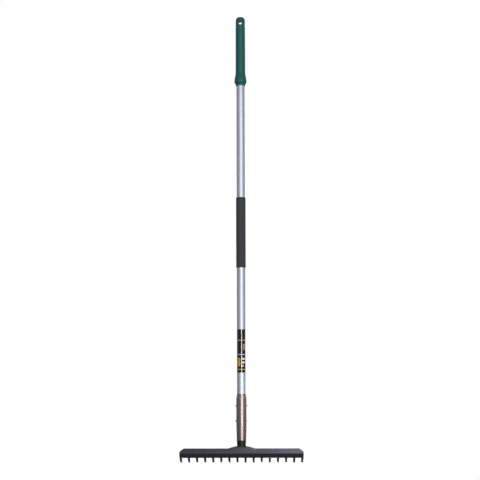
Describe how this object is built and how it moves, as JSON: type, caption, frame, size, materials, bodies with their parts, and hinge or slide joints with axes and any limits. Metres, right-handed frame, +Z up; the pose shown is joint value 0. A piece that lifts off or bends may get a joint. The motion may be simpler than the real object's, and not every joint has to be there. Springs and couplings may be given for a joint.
{
  "type": "garden rake",
  "caption": "Level-head garden rake: moulded bar with short curved teeth on a riveted aluminium tube handle, with a green end grip, a foam sleeve and a hang hole.",
  "frame": {"origin": "centre of the hang hole, on the handle's axis", "axes": "+Z up along the handle towards the end grip, +X along the head, +Y the side the teeth point to"},
  "size_m": [0.4056, 0.0502, 1.5008],
  "materials": {
    "green_plastic": "moulded dark green plastic with a fine grain",
    "tube_aluminium": "drawn and polished tube with fine lengthwise lines",
    "grip_foam": "dark closed-cell foam, fine open grain",
    "label_film": "glossy black film with plain coloured bars",
    "bronze_coat": "bronze metallic coat on aluminium",
    "rivet_aluminium": "formed rivet, satin",
    "black_plastic": "black moulded plastic, satin",
    "head_nylon": "charcoal glass-filled nylon, satin"
  },
  "bodies": {
    "root": {"end_grip": "green_plastic", "handle_tube": "tube_aluminium", "mid_grip": "grip_foam", "label_wrap": "label_film", "ferrule": "bronze_coat", "upper_rivet": "rivet_aluminium", "lower_rivet": "rivet_aluminium", "neck_collar": "black_plastic", "rake_head": "head_nylon"}
  },
  "joints": []
}
